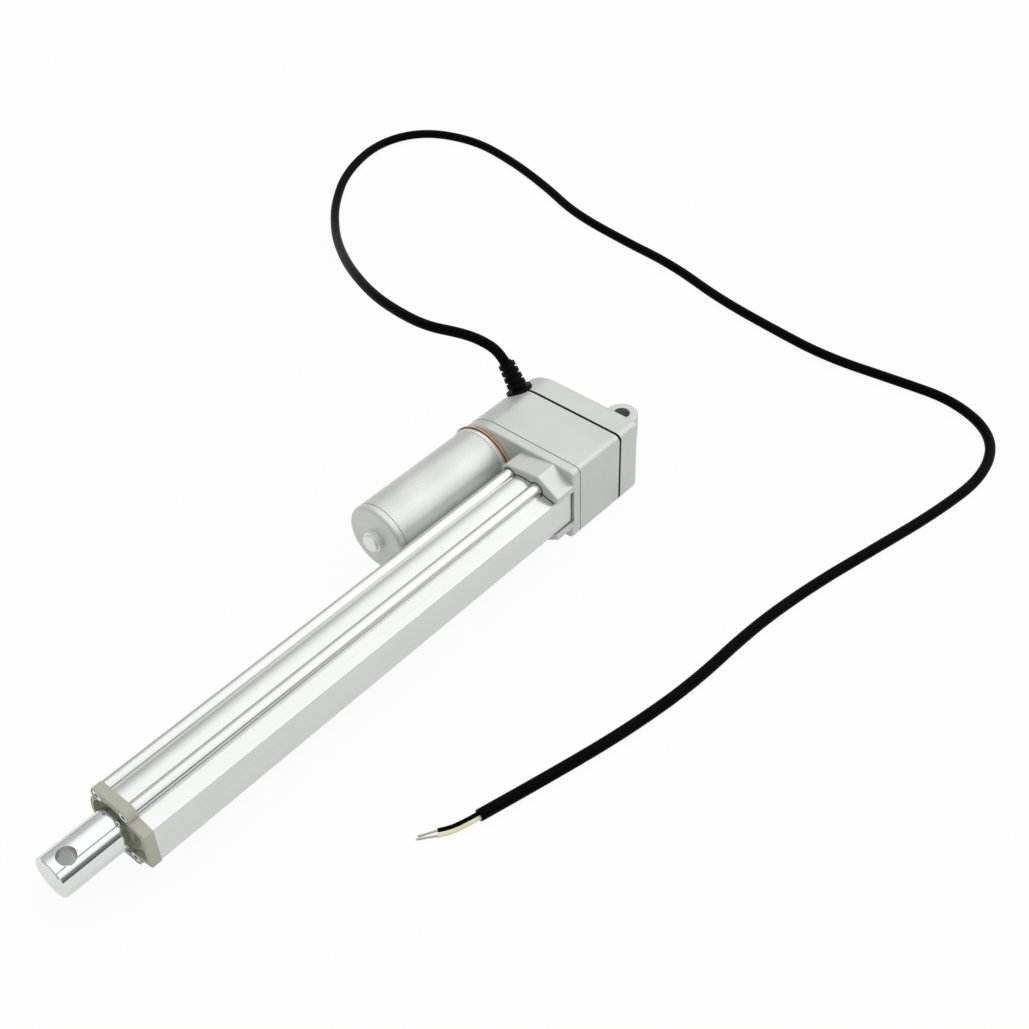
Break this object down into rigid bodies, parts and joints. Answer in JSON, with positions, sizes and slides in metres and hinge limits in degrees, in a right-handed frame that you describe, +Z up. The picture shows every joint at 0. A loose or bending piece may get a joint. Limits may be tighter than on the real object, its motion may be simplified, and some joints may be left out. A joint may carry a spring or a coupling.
{
  "type": "electric linear actuator",
  "caption": "Electric linear actuator: extruded tube with a sliding rod, offset gear head with a side-mounted motor, an eye at each end and a free power cable with bare cores.",
  "frame": {"origin": "centre of the rear eye's hole", "axes": "+X along the rod towards its tip, +Z up along the rear eye's hole, motor on the -Y side"},
  "size_m": [0.5666, 0.4944, 0.0687],
  "materials": {
    "anodised_aluminium": "satin",
    "cast_aluminium": "satin cast",
    "beige_plastic": "matte",
    "polished_steel": "polished",
    "ground_steel": "ground",
    "screw_steel": "satin",
    "zinc_steel": "satin",
    "motor_paint": "fine speckled silver",
    "copper_ring": "satin",
    "copper_wire": "satin",
    "bronze": "satin",
    "black_rubber": "matte",
    "cable_sheath": "satin",
    "cream_insulation": "satin",
    "tinned_copper": "bright",
    "white_acetal": "satin",
    "black_plastic": "matte",
    "gasket_paper": "matte",
    "circuit_board": "satin",
    "ferrite": "matte",
    "carbon": "matte"
  },
  "bodies": {
    "frame": {"outer_tube": "anodised_aluminium", "front_cap": "beige_plastic", "front_cap_screws": "screw_steel", "rod_wiper_seal": "black_rubber", "front_guide_bush": "white_acetal", "front_flange": "cast_aluminium", "flange_gasket": "gasket_paper", "gear_housing": "cast_aluminium", "cover_gasket": "black_rubber", "rear_cover": "cast_aluminium", "housing_screws": "screw_steel", "tube_screws": "screw_steel", "motor_screws": "screw_steel", "motor_seal_ring": "copper_ring", "motor_end_bell": "zinc_steel", "motor_can": "motor_paint", "motor_end_cap": "motor_paint", "motor_back_bush": "bronze", "motor_front_bush": "bronze", "motor_magnets": "ferrite", "brush_holder": "white_acetal", "carbon_brushes": "carbon", "limit_switch_board": "circuit_board", "limit_switches": "black_plastic", "gear_axle": "ground_steel", "axle_spacers": "white_acetal", "bearing_outer_race": "ground_steel", "bearing_retainer": "screw_steel", "cable_boot": "black_rubber", "power_cable": "cable_sheath", "cable_core_black": "cable_sheath", "cable_core_white": "cream_insulation", "core_tips": "tinned_copper"},
    "sliding_rod": {"rod": "polished_steel", "drive_nut": "white_acetal", "nut_wear_ring": "black_plastic"},
    "screw": {"lead_screw": "ground_steel", "screw_gear": "white_acetal", "bearing_inner_race": "ground_steel", "bearing_balls": "ground_steel", "screw_retaining_clip": "screw_steel", "screw_tip_guide": "white_acetal"},
    "layshaft": {"reduction_gear": "white_acetal"},
    "rotor": {"motor_shaft": "ground_steel", "armature_core": "zinc_steel", "armature_windings": "copper_wire", "commutator": "copper_wire", "motor_pinion": "bronze"}
  },
  "joints": [
    {"name": "rod_slide", "type": "slide", "parent": "frame", "child": "sliding_rod", "axis": [1, 0, 0], "range_m": [0, 0.254]},
    {"name": "screw_spin", "type": "hinge", "parent": "frame", "child": "screw", "pos_m": [0.034, 0, 0], "axis": [1, 0, 0], "continuous": true},
    {"name": "layshaft_spin", "type": "hinge", "parent": "frame", "child": "layshaft", "pos_m": [0.04, -0.02, 0], "axis": [1, 0, 0], "continuous": true},
    {"name": "rotor_spin", "type": "hinge", "parent": "frame", "child": "rotor", "pos_m": [0.1, -0.038, 0], "axis": [1, 0, 0], "continuous": true}
  ],
  "couplings": [
    {"joint": "screw_spin", "follows": "rod_slide", "rad_per_m": -2094.4},
    {"joint": "layshaft_spin", "follows": "rod_slide", "rad_per_m": 3490.7},
    {"joint": "rotor_spin", "follows": "rod_slide", "rad_per_m": -9075.7}
  ]
}
